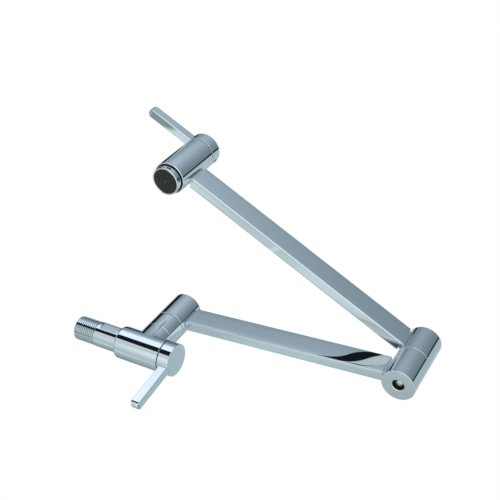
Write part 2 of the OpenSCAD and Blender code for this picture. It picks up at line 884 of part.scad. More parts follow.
module valve_grub_screw() {
  at_valve() handle_grub_screw(valve_chamber_len);
}

// Small pieces of the wall swivel
module swivel_o_rings() {
  at_wall_swivel() post_o_rings(hub_h);
}

module swivel_washer() {
  at_wall_swivel() retaining_washer(hub_h);
}

module swivel_screw() {
  at_wall_swivel() retaining_screw(hub_h);
}

// Inner arm
module inner_arm_hub() {
  on_inner_arm() translate([0, 0, hub_z0]) running_hub(hub_h, hub_h / 2, 0);
}

module inner_arm() {
  on_inner_arm() translate([0, 0, inner_arm_z]) arm_tube(inner_arm_len);
}

module elbow_lower_hub() {
  at_elbow_down() running_hub(elbow_lower_h, hub_h / 2, 180);
}

module elbow_glide_ring() {
  at_elbow() translate([0, 0, hub_z1]) glide_ring();
}

// Elbow and outer arm
module elbow_o_rings() {
  at_elbow_down() post_o_rings(elbow_lower_h);
}

module elbow_washer() {
  at_elbow_down() retaining_washer(elbow_lower_h);
}

module elbow_screw() {
  at_elbow_down() retaining_screw(elbow_lower_h);
}

module outer_arm() {
  on_outer_arm() translate([0, 0, outer_arm_z]) arm_tube(outer_arm_len);
}

// Pieces of the spout valve and its handle
module spout_cartridge_seal() {
  at_spout_valve() cartridge_seal();
}

module spout_fixed_disc() {
  at_spout_valve() fixed_disc();
}

module spout_cartridge_shell() {
  at_spout_valve() cartridge_shell(spout_chamber_len);
}

module spout_gland_nut() {
  at_spout_valve() gland_nut(spout_chamber_len);
}

module spout_moving_disc() {
  at_spout_valve() moving_disc();
}

module spout_spindle() {
  at_spout_valve() spindle(spout_chamber_len);
}

module spout_spindle_o_ring() {
  at_spout_valve() spindle_o_ring(spout_chamber_len);
}

module spout_cap() {
  at_spout_valve() handle_cap(spout_chamber_len, swivel_d);
}

module spout_lever() {
  at_spout_valve() handle_lever(spout_chamber_len, swivel_d);
}

module spout_grub_screw() {
  at_spout_valve() handle_grub_screw(spout_chamber_len);
}

inlet_nipple();
valve_body();
valve_cartridge_seal();
valve_fixed_disc();
valve_cartridge_shell();
valve_gland_nut();
post_seal();
swivel_post();
union_sleeve();
swivel_o_rings();
swivel_glide_ring();
swivel_washer();
swivel_screw();
valve_moving_disc();
valve_spindle();
valve_spindle_o_ring();
valve_cap();
valve_lever();
valve_grub_screw();
inner_arm_hub();
inner_arm();
elbow_lower_hub();
elbow_glide_ring();
elbow_upper_hub();
elbow_post();
elbow_o_rings();
elbow_washer();
elbow_screw();
outer_arm();
spout_head();
spout_cartridge_seal();
spout_fixed_disc();
spout_cartridge_shell();
spout_gland_nut();
aerator_housing();
aerator_insert();
aerator_seal();
spout_moving_disc();
spout_spindle();
spout_spindle_o_ring();
spout_cap();
spout_lever();
spout_grub_screw();
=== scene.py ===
"""Looks of the folding wall tap: soft-edged chrome, a cut inlet thread and a tent of light."""

import json
import math

import bpy
from mathutils import Matrix, Vector

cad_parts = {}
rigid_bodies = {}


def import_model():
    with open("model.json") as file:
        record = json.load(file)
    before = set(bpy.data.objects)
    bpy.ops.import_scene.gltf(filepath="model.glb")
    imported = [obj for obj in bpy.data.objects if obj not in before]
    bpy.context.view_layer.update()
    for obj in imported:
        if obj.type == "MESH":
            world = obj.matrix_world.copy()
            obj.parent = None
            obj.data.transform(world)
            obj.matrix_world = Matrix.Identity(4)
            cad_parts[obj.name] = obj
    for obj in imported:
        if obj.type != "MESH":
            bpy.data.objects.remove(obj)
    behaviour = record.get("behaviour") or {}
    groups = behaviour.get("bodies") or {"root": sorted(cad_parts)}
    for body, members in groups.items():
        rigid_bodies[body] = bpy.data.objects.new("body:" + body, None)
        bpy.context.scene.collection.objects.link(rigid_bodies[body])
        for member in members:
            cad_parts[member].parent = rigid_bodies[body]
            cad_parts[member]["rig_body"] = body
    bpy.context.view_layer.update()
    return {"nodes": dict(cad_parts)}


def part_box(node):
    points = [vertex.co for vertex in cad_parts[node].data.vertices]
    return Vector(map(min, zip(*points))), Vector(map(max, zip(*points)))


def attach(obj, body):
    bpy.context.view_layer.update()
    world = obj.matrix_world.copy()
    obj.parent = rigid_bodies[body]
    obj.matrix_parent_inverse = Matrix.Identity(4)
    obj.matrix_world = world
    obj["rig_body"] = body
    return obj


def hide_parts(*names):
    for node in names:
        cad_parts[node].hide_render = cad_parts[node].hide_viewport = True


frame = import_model()

# Every new piece is modelled in millimetres and brought to metres when it is put in its place
MM = 0.001

# Edges of a turned outline, of a bore and of a small one
AROUND = 160
AROUND_BORE = 96
AROUND_SMALL = 64

# Two places nearer than this are one, points nearer than this merge, and this far is clear
NEAR = 0.01
WELD = 0.001
CLEAR = 0.1

# How far a cutter runs past what it cuts: well past it, or just over its edge
PAST = 5.0
OVER = 2.0

# Sizes that several pieces share, in millimetres, as the frame has them
SWIVEL_R = 13.8
BODY_R = 14.0
RUN_R = 8.05
SEAT_GAP = 0.05
MOUTH_R = 11.2
MOUTH_DEPTH = 8.0
CHAMBER_R = 9.2
WATERWAY_R = 5.0
ARM_H = 20.5
ARM_T = 9.4
NECK_STEP = 1.5
EDGE = 0.3
RIM_EDGE = 0.4
FINE_EDGE = 0.2


# Placing and joining


def clear():
    bpy.ops.object.select_all(action="DESELECT")


def only(piece):
    clear()
    piece.select_set(True)
    bpy.context.view_layer.objects.active = piece


def named(name):
    piece = bpy.context.view_layer.objects.active
    piece.name = name
    piece.data.name = name
    return piece


def editing(piece, mode="FACE", action="DESELECT"):
    only(piece)
    bpy.ops.object.mode_set(mode="EDIT")
    bpy.ops.mesh.select_mode(type=mode)
    bpy.ops.mesh.select_all(action=action)


def select_where(piece, mode, test):
    """Selects the faces or edges that pass the test, and stays in edit mode."""
    editing(piece, mode)
    bpy.ops.object.mode_set(mode="OBJECT")
    for part in piece.data.polygons if mode == "FACE" else piece.data.edges:
        part.select = test(part)
    bpy.ops.object.mode_set(mode="EDIT")


def face_outwards():
    """Turns every face of the piece in edit mode outwards and leaves edit mode."""
    bpy.ops.mesh.select_all(action="SELECT")
    bpy.ops.mesh.normals_make_consistent(inside=False)
    bpy.ops.object.mode_set(mode="OBJECT")


def apply_modifier(piece, kind, **settings):
    only(piece)
    modifier = piece.modifiers.new(kind.title(), kind)
    for key, value in settings.items():
        setattr(modifier, key, value)
    bpy.ops.object.modifier_apply(modifier=modifier.name)


def combine(piece, operation, *tools):
    """Unites the piece with each tool, or cuts it by them, and takes the tools away."""
    for tool in tools:
        apply_modifier(piece, "BOOLEAN", object=tool, operation=operation, solver="EXACT")
        bpy.data.objects.remove(tool)


def cut(piece, *tools):
    combine(piece, "DIFFERENCE", *tools)


def round_edges(piece, width=EDGE, segments=3, angle=40):
    """A small even radius on every edge that is sharper than the angle."""
    apply_modifier(
        piece, "BEVEL", width=width, segments=segments, limit_method="ANGLE",
        angle_limit=math.radians(angle), use_clamp_overlap=False, miter_outer="MITER_ARC",
    )


def moved(piece, matrix):
    """Moves the piece and fixes that in its mesh."""
    only(piece)
    piece.matrix_world = matrix @ piece.matrix_world
    bpy.ops.object.transform_apply(location=True, rotation=True, scale=True)
    return piece


def place(piece, where):
    """Brings the millimetre piece to its place in the frame, in metres."""
    return moved(piece, where @ Matrix.Scale(MM, 4))


def polish(piece, angle=32):
    """Smooth shading that stays flat on the flat faces."""
    only(piece)
    bpy.ops.object.shade_smooth_by_angle(angle=math.radians(angle))
    apply_modifier(piece, "WEIGHTED_NORMAL", keep_sharp=True, weight=80)


# Basic shaped stock


def turned(name, rings, through=False, around=AROUND):
    """Turned stock: a circle pulled from ring to ring along Z. A through bore closes on itself."""
    clear()
    radius, height = rings[0]
    bpy.ops.mesh.primitive_circle_add(vertices=around, radius=radius, location=(0, 0, height))
    piece = named(name)
    bpy.ops.object.transform_apply(location=True, rotation=True, scale=True)
    editing(piece, "EDGE", "SELECT")
    for next_radius, next_height in rings[1:]:
        bpy.ops.mesh.extrude_edges_move(
            TRANSFORM_OT_translate={"value": (0, 0, next_height - height)}
        )
        grow = next_radius / radius
        bpy.ops.transform.resize(value=(grow, grow, 1), center_override=(0, 0, next_height))
        radius, height = next_radius, next_height
    if through:
        bpy.ops.mesh.select_all(action="SELECT")
        bpy.ops.mesh.remove_doubles(threshold=WELD)
    else:
        bpy.ops.mesh.edge_face_add()
        bpy.ops.mesh.select_all(action="DESELECT")
        bpy.ops.mesh.select_non_manifold()
        bpy.ops.mesh.edge_face_add()
    face_outwards()
    return piece


def arc(centre_r, centre_z, radius, start, end, steps):
    """Rings along an arc of a turned outline."""
    rings = []
    for step in range(steps + 1):
        angle = math.radians(start + (end - start) * step / steps)
        rings.append((centre_r + radius * math.cos(angle), centre_z + radius * math.sin(angle)))
    return rings


def drill(radius, start, end, around=AROUND):
    return turned("drill", [(radius, start), (radius, end)], around=around)


def middle_and_size(low, high):
    return [(a + b) / 2 for a, b in zip(low, high)], [b - a for a, b in zip(low, high)]


def block(name, low, high):
    """Rectangular stock between two corners."""
    clear()
    middle, size = middle_and_size(low, high)
    bpy.ops.mesh.primitive_cube_add(size=1, location=middle)
    piece = named(name)
    piece.scale = size
    bpy.ops.object.transform_apply(location=True, rotation=True, scale=True)
    return piece


# Places in the frame


def middle_of(node):
    low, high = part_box(node)
    return (low + high) / 2


def heights(node):
    """Lowest and highest point of a CAD node, in millimetres."""
    low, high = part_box(node)
    return low.z / MM, high.z / MM


def frame_at(point, angle=0.0, height=0.0, tilt=None):
    """Frame at a swivel axis, turned about it, with its floor at the height in millimetres."""
    matrix = Matrix.Translation((point.x, point.y, height * MM)) @ Matrix.Rotation(angle, 4, "Z")
    return matrix @ tilt if tilt else matrix


ALONG_X = Matrix.Rotation(math.pi / 2, 4, "Y")
AGAINST_X = Matrix.Rotation(-math.pi / 2, 4, "Y")
UPSIDE_DOWN = Matrix.Rotation(math.pi, 4, "X")

wall_axis = middle_of("inner_arm_hub")
elbow_axis = middle_of("elbow_lower_hub")
spout_axis = middle_of("spout_head")
inner_run = elbow_axis - wall_axis
outer_run = spout_axis - elbow_axis
inner_angle = math.atan2(inner_run.y, inner_run.x)
outer_angle = math.atan2(outer_run.y, outer_run.x)
inner_len = inner_run.xy.length / MM
outer_len = outer_run.xy.length / MM
inner_arm_height = sum(heights("inner_arm")) / 2
outer_arm_height = sum(heights("outer_arm")) / 2


# Node helpers: the first builds add(), which the others take. A value is a socket or a number,
# a colour is a socket or three numbers


def node_adder(tree):
    """A helper that adds one node to the tree, sets it and links its inputs."""

    def add(kind, links=(), **settings):
        node = tree.nodes.new(kind)
        for key, value in settings.items():
            if key in node.inputs:
                node.inputs[key].default_value = value
            else:
                setattr(node, key, value)
        for source, socket in links:
            tree.links.new(source, node.inputs[socket])
        return node

    return add


def feed(node, socket, value):
    if isinstance(value, bpy.types.NodeSocket):
        node.id_data.links.new(value, node.inputs[socket])
    else:
        node.inputs[socket].default_value = (*value, 1) if isinstance(value, tuple) else value


def axes(add, position):
    parts = add("ShaderNodeSeparateXYZ", [(position, "Vector")])
    return parts.outputs["X"], parts.outputs["Y"], parts.outputs["Z"]


def maths(add, first, second, operation="ADD"):
    node = add("ShaderNodeMath", operation=operation)
    feed(node, 0, first)
    feed(node, 1, second)
    return node.outputs[0]


def square_sum(add, first, second):
    return maths(add, *(maths(add, value, value, "MULTIPLY") for value in (first, second)))


def against(add, position, vector, operation):
    """One number from the position and a fixed vector: their distance or their dot product."""
    node = add("ShaderNodeVectorMath", [(position, 0)], operation=operation)
    node.inputs[1].default_value = vector
    return node.outputs["Value"]


def spread(add, value, low, high, to_low=0, to_high=1, kind="LINEAR"):
    """The value, carried from one range over to another and held at its ends."""
    span = add("ShaderNodeMapRange", [(value, "Value")], interpolation_type=kind)
    for socket, number in (("From Min", low), ("From Max", high), ("To Min", to_low),
                           ("To Max", to_high)):
        span.inputs[socket].default_value = number
    return span.outputs["Result"]


def blend(add, factor, first, second, blend_type="MIX"):
    """Mix of two colours. The sockets are those that the node has for colours."""
    node = add("ShaderNodeMix", data_type="RGBA", blend_type=blend_type)
    for socket, value in ((0, factor), (6, first), (7, second)):
        feed(node, socket, value)
    return node.outputs[2]


def ramp_along(add, value, stops):
    """Colour that follows a value, from stops given in the value's own units."""
    low, high = stops[0][0], stops[-1][0]
    ramp = add("ShaderNodeValToRGB", [(spread(add, value, low, high), "Fac")])
    while len(ramp.color_ramp.elements) < len(stops):
        ramp.color_ramp.elements.new(1)
    for element, (at, colour) in zip(ramp.color_ramp.elements, stops):
        element.position = (at - low) / (high - low)
        element.color = (*colour, 1)
    return ramp.outputs["Color"]


def noise(add, position, scale, detail, roughness):
    return add("ShaderNodeTexNoise", [(position, "Vector")], Scale=scale, Detail=detail,
               Roughness=roughness).outputs["Fac"]


# Finishes

# How much finer the marks of wiping are than the tone changes
WIPE_FINER = 9

# Painted shade in the thread's roots: its colour, and where in millimetres it ends: out along the
# radius, and on along the inlet
PAINTED_ROOT_SHADE = (0.34, 0.36, 0.37)
SHADE_R = (9.35, 9.95)
SHADE_X = (0.2, 0.7)


def new_finish(name):
    """A new material with its shader, its helper for nodes and the piece's own position."""
    material = bpy.data.materials.new(name)
    material.use_nodes = True
    add = node_adder(material.node_tree)
    shader = material.node_tree.nodes["Principled BSDF"]
    return material, shader, add, add("ShaderNodeTexCoord").outputs["Object"]


def dress_shader(shader, add, colour, gloss, height, bump, depth):
    relief = add("ShaderNodeBump", [(height, "Height")], Strength=bump, Distance=depth)
    for socket, source in (("Base Color", colour), ("Roughness", gloss),
                           ("Normal", relief.outputs["Normal"])):
        feed(shader, socket, source)


def metal(name, light, dark, smooth, rough, grain, ripple, shade=None):
    """Polished or turned metal: faint tone changes, uneven polish and a slight ripple."""
    material, shader, add, position = new_finish(name)
    shader.inputs["Metallic"].default_value = 1
    cloud = noise(add, position, grain, detail=3, roughness=0.6)
    tone = blend(add, cloud, light, dark)
    # Painted shade: where a shade mask is given, the tone darkens to the roots' shade colour
    if shade:
        tone = blend(add, shade(add, position), PAINTED_ROOT_SHADE, tone)
    wipe = noise(add, position, grain * WIPE_FINER, detail=4, roughness=0.7)
    haze = spread(add, wipe, 0.3, 0.7, to_low=smooth, to_high=rough)
    dress_shader(shader, add, tone, haze, cloud, ripple, depth=0.001)
    return material


def moulded(name, light, dark, smooth, rough, grain, bump, sheen=0.5):
    """Moulded or fired stuff: fine grain in colour, gloss and surface."""
    material, shader, add, position = new_finish(name)
    shader.inputs["Specular IOR Level"].default_value = sheen
    speck = noise(add, position, grain, detail=5, roughness=0.65)
    tone = blend(add, speck, dark, light)
    gloss = spread(add, speck, 0, 1, to_low=smooth, to_high=rough)
    dress_shader(shader, add, tone, gloss, speck, bump, depth=0.0002)
    return material


def painted_thread_shade(add, position):
    """Painted shade, dark in the thread's roots and bright on its crests and the shank behind."""
    x, y, z = axes(add, position)
    reach = add("ShaderNodeMath", [(square_sum(add, y, z), 0)], operation="SQRT").outputs[0]
    crest = spread(add, reach, *(radius * MM for radius in SHADE_R))
    shank = spread(add, x, *(height * MM for height in SHADE_X))
    return maths(add, crest, shank, "MAXIMUM")


CHROME = {
    "light": (0.80, 0.82, 0.835), "dark": (0.775, 0.80, 0.82), "smooth": 0.02, "rough": 0.05,
    "grain": 22, "ripple": 0.012,
}
chrome = metal("polished_chrome", **CHROME)
# Chrome with painted shade in the thread's roots and in the bore inside the thread
thread_chrome_painted_shade = metal("thread_chrome_painted_shade", shade=painted_thread_shade, **CHROME)
brass = metal("turned_brass", light=(0.78, 0.62, 0.32), dark=(0.66, 0.50, 0.24), smooth=0.16,
              rough=0.32, grain=90, ripple=0.05)
steel = metal("polished_steel", light=(0.62, 0.61, 0.60), dark=(0.52, 0.51, 0.50), smooth=0.10,
              rough=0.20, grain=150, ripple=0.04)
plated = metal("plated_screw", light=(0.86, 0.83, 0.80), dark=(0.72, 0.69, 0.66), smooth=0.42,
               rough=0.56, grain=150, ripple=0.04)
rubber = moulded("black_rubber", light=(0.045, 0.045, 0.047), dark=(0.03, 0.03, 0.032),
                 smooth=0.55, rough=0.8, grain=900, bump=0.25, sheen=0.3)
ceramic = moulded("fired_ceramic", light=(0.90, 0.90, 0.87), dark=(0.84, 0.84, 0.80),
                  smooth=0.12, rough=0.25, grain=600, bump=0.05)
dark_plastic = moulded("black_plastic", light=(0.052, 0.052, 0.046), dark=(0.026, 0.026, 0.023),
                       smooth=0.35, rough=0.5, grain=700, bump=0.2, sheen=0.3)
glide_plastic = moulded("glide_plastic", light=(0.87, 0.88, 0.88), dark=(0.78, 0.79, 0.80),
                        smooth=0.35, rough=0.5, grain=800, bump=0.1)
# Near-black painted shade for bores, recesses, key notches and the faces at seams between parts
painted_shade_finish = moulded("recess_painted_shade", light=(0.016, 0.017, 0.018), dark=(0.008, 0.009, 0.010),
                    smooth=0.5, rough=0.7, grain=500, bump=0.2, sheen=0.15)

FINISHES = {
    "chrome": chrome, "brass": brass, "steel": steel, "rubber": rubber, "ceramic": ceramic,
    "black_plastic": dark_plastic, "glide_plastic": glide_plastic,
}


def dress(piece, slot):
    piece.data.materials.clear()
    piece.data.materials.append(FINISHES[slot])


CAD_FINISHES = {
    "chrome": (
        "inlet_nipple valve_body union_sleeve valve_cap valve_lever inner_arm_hub inner_arm "
        "elbow_lower_hub elbow_upper_hub outer_arm spout_head aerator_housing spout_cap spout_lever"
    ),
    "brass": (
        "valve_cartridge_shell valve_gland_nut swivel_post valve_spindle elbow_post "
        "spout_cartridge_shell spout_gland_nut spout_spindle"
    ),
    "steel": (
        "swivel_washer swivel_screw elbow_washer elbow_screw valve_grub_screw spout_grub_screw"
    ),
    "rubber": (
        "valve_cartridge_seal post_seal swivel_o_rings valve_spindle_o_ring elbow_o_rings "
        "spout_cartridge_seal spout_spindle_o_ring aerator_seal"
    ),
    "ceramic": "valve_fixed_disc valve_moving_disc spout_fixed_disc spout_moving_disc",
    "black_plastic": "aerator_insert",
    "glide_plastic": "swivel_glide_ring elbow_glide_ring",
}
for slot_name, node_names in CAD_FINISHES.items():
    for node_name in node_names.split():
        dress(frame["nodes"][node_name], slot_name)


def paint_recess_shade(piece, test):
    """Chrome outside, painted shade on the inner and joining faces, picked by where they lie."""
    dress(piece, "chrome")
    piece.data.materials.append(painted_shade_finish)
    select_where(piece, "FACE", test)
    piece.active_material_index = 1
    bpy.ops.object.material_slot_assign()
    bpy.ops.object.mode_set(mode="OBJECT")


def hand_over(piece, node, slot="chrome"):
    """The finished piece stands for its CAD node and rides where the node does."""
    if not piece.data.materials:
        dress(piece, slot)
    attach(piece, frame["nodes"][node]["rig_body"])
    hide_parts(node)


# Camera, at the place that the photograph was taken from

camera_data = bpy.data.cameras.new("camera")
camera_data.lens = 68.34
camera_data.sensor_width = 36
camera = bpy.data.objects.new("camera", camera_data)
bpy.context.scene.collection.objects.link(camera)
right = Vector((0.87576, 0.03318, 0.48161))
up = Vector((-0.24404, -0.83034, 0.50097))
back = Vector((0.41652, -0.55626, -0.71908))
turn = Matrix((right, up, back)).transposed().to_4x4()
camera.matrix_world = Matrix.Translation((0.4343, -0.5086, -0.4876)) @ turn
bpy.context.scene.camera = camera


# Inlet with its thread, counted from the wall along the inlet axis. The crests fade out and the
# root rises to the shank between two heights each. The flats' cutter has half a width and a depth

THREAD_R = 10.4775
THREAD_ROOT_R = 9.3155
THREAD_LEN = 20.5
THREAD_PITCH = 1.814
THREAD_CHAMFER = 0.8
CREST_FADE = (-0.6, 0.2)
ROOT_RISE = (-0.5, 0.4)
SHANK_R = 10.7
SHANK_LEN = 22.4
SPIGOT_R = 8.5
SPIGOT_END = 32.4
INLET_R = 6.0
INLET_EDGE = 0.15
FLATS_HALF = 10.0
FLATS_START = 3.6
FLATS_END = 20.4
FLATS_CUTTER = (12, 4)

# Section of the ridge, which stands past the thread's blank on every side and is cut to it
RIDGE_FOOT_R = 9.1
RIDGE_FOOT_HALF = 0.86
RIDGE_TIP_R = THREAD_R + 0.2
RIDGE_TIP_HALF = 0.16
RIDGE_LEAD = 1.2
RIDGE_TURNS = 12
RIDGE_STEPS = 72


def thread_ridge():
    """One turn's section, swept round and along by a screw, closed at both ends."""
    clear()
    bpy.ops.mesh.primitive_plane_add(size=1, location=(0, 0, 0))
    ridge = named("ridge")
    corners = ((RIDGE_FOOT_R, -RIDGE_FOOT_HALF), (RIDGE_TIP_R, -RIDGE_TIP_HALF),
               (RIDGE_TIP_R, RIDGE_TIP_HALF), (RIDGE_FOOT_R, RIDGE_FOOT_HALF))
    plane_order = (0, 1, 3, 2)
    for vertex_index, (radius, height) in zip(plane_order, corners):
        ridge.data.vertices[vertex_index].co = (radius, 0, height - THREAD_LEN - RIDGE_LEAD)
    editing(ridge, "FACE", "SELECT")
    bpy.ops.mesh.delete(type="ONLY_FACE")
    bpy.ops.object.mode_set(mode="OBJECT")
    apply_modifier(
        ridge, "SCREW", axis="Z", angle=math.tau, screw_offset=THREAD_PITCH,
        iterations=RIDGE_TURNS, steps=RIDGE_STEPS, render_steps=RIDGE_STEPS,
        use_merge_vertices=False,
    )
    editing(ridge, "EDGE")
    bpy.ops.mesh.select_non_manifold()
    bpy.ops.mesh.fill_holes(sides=4)
    face_outwards()
    return ridge


def wrench_flat(side):
    """Cutter for the flat on one side of the shank, 1 or -1."""
    half, depth = FLATS_CUTTER
    low, high = sorted((side * FLATS_HALF, side * (FLATS_HALF + depth)))
    return block("flat", (-half, low, FLATS_START), (half, high, FLATS_END))


def make_inlet():
    blank = turned("blank", [
        (THREAD_R - THREAD_CHAMFER, -THREAD_LEN), (THREAD_R, -THREAD_LEN + THREAD_CHAMFER),
        (THREAD_R, CREST_FADE[0]), (THREAD_ROOT_R, CREST_FADE[1]),
    ])
    ridge = thread_ridge()
    combine(ridge, "INTERSECT", blank)
    inlet = turned("threaded_inlet", [
        (THREAD_ROOT_R, -THREAD_LEN), (THREAD_ROOT_R, ROOT_RISE[0]), (SHANK_R, ROOT_RISE[1]),
        (SHANK_R, SHANK_LEN), (SPIGOT_R, SHANK_LEN), (SPIGOT_R, SPIGOT_END),
    ])
    cut(inlet, *(wrench_flat(side) for side in (-1, 1)))
    round_edges(inlet, INLET_EDGE, segments=2)
    combine(inlet, "UNION", ridge)
    cut(inlet, drill(INLET_R, -THREAD_LEN - PAST, SPIGOT_END + PAST, AROUND_BORE))
    # Its finish is chrome with painted shade in the thread's roots
    inlet.data.materials.append(thread_chrome_painted_shade)
    polish(place(inlet, ALONG_X), angle=28)
    hand_over(inlet, "inlet_nipple")


make_inlet()


# Valve body with its branch

BODY_START = 22.4
BODY_END = 66.3
SHOULDER_R = 3.0
SOCKET_END = 32.45
VALVE_SEAT = 39.5
BRANCH_TOP = 18.7
BRANCH_SPIGOT_R = 11.8
BRANCH_SPIGOT_END = 26.0


def make_valve_body():
    to_branch = Matrix.Translation((wall_axis.x / MM, 0, 0))
    shoulder = arc(BODY_R - SHOULDER_R, BODY_START + SHOULDER_R, SHOULDER_R, -90, 0, steps=10)
    body = turned("valve_housing", [*shoulder, (BODY_R, BODY_END)])
    round_edges(body, angle=60)
    moved(body, ALONG_X)
    branch = turned("branch", [
        (SWIVEL_R, 0), (SWIVEL_R, BRANCH_TOP), (BRANCH_SPIGOT_R, BRANCH_TOP),
        (BRANCH_SPIGOT_R, BRANCH_SPIGOT_END),
    ])
    round_edges(branch)
    combine(body, "UNION", moved(branch, to_branch))
    bores = turned("bores", [
        (SPIGOT_R + SEAT_GAP, BODY_START - PAST), (SPIGOT_R + SEAT_GAP, SOCKET_END),
        (WATERWAY_R, SOCKET_END), (WATERWAY_R, VALVE_SEAT), (CHAMBER_R, VALVE_SEAT),
        (CHAMBER_R, BODY_END - MOUTH_DEPTH), (MOUTH_R, BODY_END - MOUTH_DEPTH),
        (MOUTH_R, BODY_END + PAST),
    ])
    rise = drill(WATERWAY_R, 0, BRANCH_SPIGOT_END + PAST)
    cut(body, moved(bores, ALONG_X), moved(rise, to_branch))
    polish(place(body, Matrix.Identity(4)), angle=24)
    hand_over(body, "valve_body")


make_valve_body()


# Hubs and sleeve of the swivels

PORT_R = 2.5
PORT_LAP = 1.0
POCKET_ROOT = 10.4
PILOT_R = 3.05
PARTITION = 2.5
COUNTERBORE_R = 4.9
COUNTERBORE_DEPTH = 5.3
COUNTERBORE_CHAMFER = 0.5
FLANGE_R = 11.35
FLANGE_T = 2.6
BLIND_WALL = 4.0
SLEEVE_BORE_R = 8.1
SLEEVE_SHOULDER = 29.6


def neck_pocket(height, turn_angle, bore_r):
    """Cutters for the pocket that takes the arm's neck and for the port from it to the bore."""
    half_t = (ARM_T / 2 - NECK_STEP) + SEAT_GAP
    half_h = (ARM_H / 2 - NECK_STEP) + SEAT_GAP
    pocket = block("pocket", (POCKET_ROOT, -half_t, height - half_h),
                   (SWIVEL_R + PAST, half_t, height + half_h))
    port = moved(drill(PORT_R, bore_r - OVER, POCKET_ROOT + PORT_LAP, AROUND_SMALL),
                 Matrix.Translation((0, 0, height)) @ ALONG_X)
    spin = Matrix.Rotation(math.radians(turn_angle), 4, "Z")
    return moved(pocket, spin), moved(port, spin)


def running_hub(name, node, length, port_height, turn_angle, where):
    """Hub that runs on its post, with the counterbore for the retaining screw."""
    shoulder = length - COUNTERBORE_DEPTH - PARTITION
    hub = turned(name, [
        (RUN_R, 0), (SWIVEL_R, 0), (SWIVEL_R, length),
        (COUNTERBORE_R + COUNTERBORE_CHAMFER, length),
        (COUNTERBORE_R, length - COUNTERBORE_CHAMFER), (COUNTERBORE_R, length - COUNTERBORE_DEPTH),
        (PILOT_R, length - COUNTERBORE_DEPTH), (PILOT_R, shoulder), (RUN_R, shoulder), (RUN_R, 0),
    ], through=True)
    round_edges(hub, RIM_EDGE, angle=60)
    cut(hub, *neck_pocket(port_height, turn_angle, RUN_R))
    # Painted shade in the counterbore and on the end face that meets the next part
    paint_recess_shade(hub, lambda face: face.center.xy.length < COUNTERBORE_R + 2 * NEAR
                   or face.center.z < NEAR)
    polish(place(hub, where))
    hand_over(hub, node)


hub_low, hub_high = heights("inner_arm_hub")
lower_low, lower_high = heights("elbow_lower_hub")

running_hub("wall_swivel_hub", "inner_arm_hub", hub_high - hub_low, inner_arm_height - hub_low, 0,
            frame_at(wall_axis, inner_angle, hub_low))
running_hub("elbow_hub_below", "elbow_lower_hub", lower_high - lower_low,
            lower_high - inner_arm_height, 180,
            frame_at(elbow_axis, inner_angle, lower_high, UPSIDE_DOWN))


def make_upper_hub():
    low, high = heights("elbow_upper_hub")
    length = high - low
    hub = turned("elbow_hub_above", [
        (RUN_R, length - BLIND_WALL), (RUN_R, FLANGE_T), (FLANGE_R, FLANGE_T), (FLANGE_R, 0),
        (SWIVEL_R, 0), (SWIVEL_R, length),
    ])
    round_edges(hub, RIM_EDGE)
    cut(hub, *neck_pocket(outer_arm_height - low, 0, RUN_R))
    # Painted shade on the lower end faces that meet the hub below
    paint_recess_shade(hub, lambda face: face.center.z < NEAR)
    polish(place(hub, frame_at(elbow_axis, outer_angle, low)))
    hand_over(hub, "elbow_upper_hub")


def make_union_sleeve():
    low, high = heights("union_sleeve")
    nut_r = BRANCH_SPIGOT_R + SEAT_GAP
    sleeve = turned("clamping_sleeve", [
        (nut_r, low), (SWIVEL_R, low), (SWIVEL_R, high), (SLEEVE_BORE_R, high),
        (SLEEVE_BORE_R, SLEEVE_SHOULDER), (nut_r, SLEEVE_SHOULDER), (nut_r, low),
    ], through=True)
    round_edges(sleeve, RIM_EDGE)
    # Painted shade on the top face that meets the hub
    paint_recess_shade(sleeve, lambda face: face.center.z > high - NEAR)
    polish(place(sleeve, frame_at(wall_axis)))
    hand_over(sleeve, "union_sleeve")


make_upper_hub()
make_union_sleeve()


# Arms: rectangular tube with a neck at each end

ARM_START = 15.1
ARM_END = 0.5
ARM_EDGE = 0.7
NECK_ROOT = 10.45
WIDE_CROWN = 0.13
NARROW_CROWN = 0.03
WIDE_STEPS = 8
NARROW_STEPS = 4


def arm_section():
    """Outline of the polished section: the faces are a little crowned and the edges soft."""
    flat_y = ARM_T / 2 - WIDE_CROWN - ARM_EDGE
    flat_z = ARM_H / 2 - NARROW_CROWN - ARM_EDGE
    quarter = [(ARM_T / 2 - WIDE_CROWN * (step / WIDE_STEPS) ** 4, flat_z * step / WIDE_STEPS)
               for step in range(WIDE_STEPS)]
    quarter += arc(flat_y, flat_z, ARM_EDGE, 0, 90, steps=5)
    quarter += [
        (flat_y * step / NARROW_STEPS, ARM_H / 2 - NARROW_CROWN * (step / NARROW_STEPS) ** 4)
        for step in range(NARROW_STEPS - 1, 0, -1)
    ]
    upper = [*quarter, (0, ARM_H / 2), *((-y, z) for y, z in reversed(quarter))]
    return upper + [(y, -z) for y, z in reversed(upper[1:-1])]


def make_arm(name, node, length, height, point, angle):
    start, end = ARM_START, length - ARM_START
    section = arm_section()
    clear()
    bpy.ops.mesh.primitive_circle_add(vertices=len(section), radius=1, fill_type="NGON")
    arm = named(name)
    for vertex, (across, above) in zip(arm.data.vertices, section):
        vertex.co = (start, across, above)
    editing(arm, "FACE", "SELECT")
    for length_on in (ARM_END, end - start - 2 * ARM_END, ARM_END):
        bpy.ops.mesh.extrude_region_move(TRANSFORM_OT_translate={"value": (length_on, 0, 0)})
    face_outwards()
    half_t, half_h = ARM_T / 2 - NECK_STEP, ARM_H / 2 - NECK_STEP
    combine(arm, "UNION", block("neck", (NECK_ROOT, -half_t, -half_h),
                                (length - NECK_ROOT, half_t, half_h)))
    round_edges(arm)
    polish(place(arm, frame_at(point, angle, height)))
    hand_over(arm, node)


make_arm("lower_arm", "inner_arm", inner_len, inner_arm_height, wall_axis, inner_angle)
make_arm("upper_arm", "outer_arm", outer_len, outer_arm_height, elbow_axis, outer_angle)
